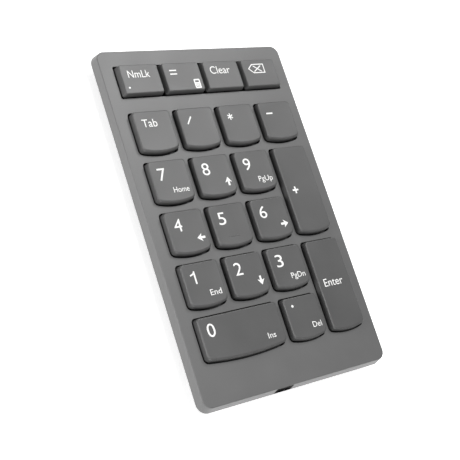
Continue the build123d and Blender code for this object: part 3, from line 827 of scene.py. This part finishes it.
# ---- stabiliser wires ---------------------------------------------------------------------------
# Bright spring-steel wire, bent into a wide U under each long cap so that both ends sink together.
wire_finish = drawn_metal("spring_wire", (0.55, 0.55, 0.56), (0.68, 0.68, 0.69),
                          0.18, 0.3, lines=6000.0)
for name in ("0", "plus", "enter"):
    dress("stabilizer_" + name, wire_finish)

# ---- charging socket ----------------------------------------------------------------------------
# A drawn steel shell, blackened, with a tongue that carries gold-plated contact strips. A surround
# of black plastic, pushed into the case's notch from the front, covers the gap round it.
dress("charging_socket", drawn_metal("blackened_steel", (0.012, 0.012, 0.013), (0.02, 0.02, 0.022),
                                     0.4, 0.55))
gold = drawn_metal("gold_plate", (0.78, 0.56, 0.24), (0.86, 0.64, 0.30), 0.2, 0.3, lines=8000.0)
socket_low, socket_high = box_of("charging_socket")
socket_x = (socket_low.x + socket_high.x) / 2
socket_z = (socket_low.z + socket_high.z) / 2
case_front, draft, rim_rise = -66.825, 1.1, 3.9


def on_front(px, pz, back):
    """A point behind the drafted front face of the case, at a height."""
    return (px, case_front - draft * (case_top - pz) / rim_rise + back, pz)


lip = rounded(socket_x - 3.85, socket_x + 3.85, 6.5, 9.95, 0.45)
sleeve = rounded(socket_x - 3.75, socket_x + 3.75, 6.52, 8.88, 0.45)
mouth = rounded(socket_x - 3.35, socket_x + 3.35, 6.7, 8.55, 0.7)
sleeve_end, lip_back, lip_face = 0.9, -0.01, -0.04
bm = bmesh.new()
made = ring_loft(bm, [[on_front(px, pz, back) for px, pz in loop] for loop, back in (
    (sleeve, sleeve_end), (sleeve, lip_back), (lip, lip_back),
    (lip, lip_face), (mouth, lip_face), (mouth, sleeve_end))])
for i in range(len(made[0])):
    j = (i + 1) % len(made[0])
    bm.faces.new((made[0][i], made[-1][i], made[-1][j], made[0][j]))
socket_black = moulded("socket_black", (0.004, 0.004, 0.004), (0.007, 0.007, 0.007), 0.6, 0.7)
socket_black.node_tree.nodes["Principled BSDF"].inputs["Specular IOR Level"].default_value = 0.12
add_piece("socket_frame", bm, socket_black, "chassis", smooth=False)
strips, strip_pitch, strip_half = 6, 0.6, 0.15
strip_near, strip_far, strip_low, strip_high = 1.2, 3.6, 0.15, 0.175
bm = bmesh.new()
for i in range(strips):
    cx = socket_x + strip_pitch * (i - (strips - 1) / 2)
    block(bm, (cx - strip_half, socket_low.y + strip_near, socket_z + strip_low),
          (cx + strip_half, socket_low.y + strip_far, socket_z + strip_high))
add_piece("socket_contacts", bm, gold, "chassis", smooth=False)

# ---- main board ---------------------------------------------------------------------------------
# Glass-epoxy board under black solder resist, with its radio and charging chips and a row of small
# ceramic capacitors soldered beside them.
dress("main_board", moulded("solder_resist", (0.010, 0.016, 0.012), (0.016, 0.026, 0.019),
                            0.25, 0.35, grains=1800.0, depth=0.006))
board_low, board_high = box_of("main_board")
chip_height = 0.9
board_face = board_high.z - chip_height
row_start, row_inset, part_pitch = 20.0, 1.6, 1.4
half_long, half_short, part_height = 0.4, 0.25, 0.45
bm = bmesh.new()
for i in range(9):
    cx = board_low.x + row_start + part_pitch * i
    cy = board_high.y - row_inset
    block(bm, (cx - half_long, cy - half_short, board_face),
          (cx + half_long, cy + half_short, board_face + part_height))
ceramic = moulded("ceramic_tan", (0.42, 0.30, 0.19), (0.50, 0.36, 0.24), 0.4, 0.5)
add_piece("capacitors", bm, ceramic, "chassis", smooth=False)

# ---- battery ------------------------------------------------------------------------------------
# A flat lithium cell in a sealed pouch of aluminium laminate, stuck to the floor of the cover.
dress("battery", drawn_metal("pouch_foil", (0.50, 0.50, 0.51), (0.60, 0.60, 0.61),
                             0.28, 0.42, lines=900.0))

# ---- power switch -------------------------------------------------------------------------------
# A slide switch behind a window in the rear wall. Its knob has four grip ribs across it.
dress("power_switch_body", moulded("switch_black", (0.015, 0.015, 0.016), (0.022, 0.022, 0.023),
                                   0.4, 0.5))
knob_low, knob_high = box_of("power_switch_knob")
ribs, rib_rise, rib_share = 4, 0.22, 0.76
rib_pitch = (knob_high.x - knob_low.x) / ribs
rib_foot = knob_high.y - rib_rise
shaft_y = knob_high.y - 2.0
shaft_half_width, shaft_half_height = 0.75, 0.35
bm = bmesh.new()
block(bm, (knob_low.x, shaft_y, knob_low.z), (knob_high.x, rib_foot, knob_high.z))
for i in range(ribs):
    left = knob_low.x + rib_pitch * (i + (1 - rib_share) / 2)
    block(bm, (left, rib_foot, knob_low.z),
          (left + rib_pitch * rib_share, knob_high.y, knob_high.z))
knob_x, knob_z = (knob_low.x + knob_high.x) / 2, (knob_low.z + knob_high.z) / 2
block(bm, (knob_x - shaft_half_width, knob_low.y, knob_z - shaft_half_height),
      (knob_x + shaft_half_width, shaft_y, knob_z + shaft_half_height))
knob_black = moulded("knob_black", (0.02, 0.02, 0.021), (0.03, 0.03, 0.031), 0.35, 0.45)
knob = add_piece("switch_knob", bm, knob_black, "power_switch_knob", smooth=False)
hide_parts("power_switch_knob")

# ---- receiver -----------------------------------------------------------------------------------
# The plug-in radio stowed under the base: a nickel-plated steel shell with two spring windows, a
# black moulded grip with finger notches, and four gold pads on the tongue.
dress("receiver_shell", drawn_metal("nickel_plate", (0.62, 0.61, 0.59), (0.74, 0.73, 0.71),
                                    0.16, 0.28, lines=5000.0))
dress("receiver_body", moulded("grip_black", (0.016, 0.016, 0.017), (0.024, 0.024, 0.025),
                               0.3, 0.42, grains=3200.0, depth=0.015))
body_high = box_of("receiver_body")[1]
shell_low, shell_high = box_of("receiver_shell")
plug_height = 4.5
tongue_top = (shell_low.z + shell_high.z) / 2 - plug_height / 4 + plug_height / 6
pads, pad_pitch, pad_half, pad_rise, pad_near, pad_far = 4, 7.0 / 3, 0.5, 0.03, 7.5, 0.6
bm = bmesh.new()
for i in range(pads):
    cx = (shell_low.x + shell_high.x) / 2 + pad_pitch * (i - (pads - 1) / 2)
    block(bm, (cx - pad_half, body_high.y - pad_near, tongue_top),
          (cx + pad_half, body_high.y - pad_far, tongue_top + pad_rise))
add_piece("receiver_contacts", bm, gold, "receiver", smooth=False)
